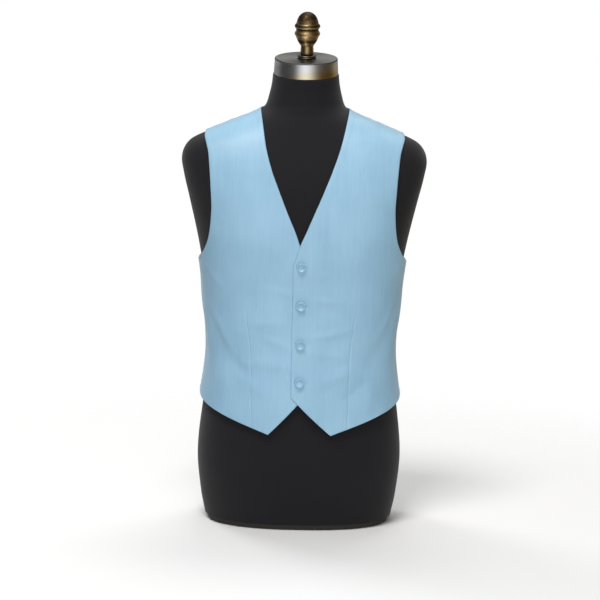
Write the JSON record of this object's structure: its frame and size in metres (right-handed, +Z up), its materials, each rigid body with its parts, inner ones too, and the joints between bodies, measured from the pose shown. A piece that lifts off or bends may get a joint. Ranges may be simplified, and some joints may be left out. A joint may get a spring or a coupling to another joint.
{
  "type": "tuxedo vest on a dress form",
  "caption": "Sky-blue satin tuxedo vest with a V neck and covered buttons, worn by a black jersey dress form with a steel neck cap and a turned brass finial.",
  "frame": {"origin": "on the flat bottom of the dress form, straight under the axis of its torso", "axes": "+Z up, the front of the vest faces -Y, the wearer's left is +X"},
  "size_m": [0.42, 0.2626, 0.8765],
  "materials": {
    "satin_cloth": "soft satin, sky blue",
    "button_cloth": "the vest's satin over a dished button",
    "jersey": "matt black knitted jersey",
    "board": "black stain",
    "steel": "spun and brushed",
    "dark_collar": "dark, half gloss",
    "antique_brass": "antiqued, dark in the grooves"
  },
  "bodies": {
    "root": {"form_torso": "jersey", "bottom_board": "board", "neck_cap": "steel", "finial_collar": "dark_collar", "finial": "antique_brass", "vest_front_left": "satin_cloth", "vest_front_right": "satin_cloth", "vest_back_left": "satin_cloth", "vest_back_right": "satin_cloth", "button_1": "button_cloth", "button_2": "button_cloth", "button_3": "button_cloth", "button_4": "button_cloth"}
  },
  "joints": []
}
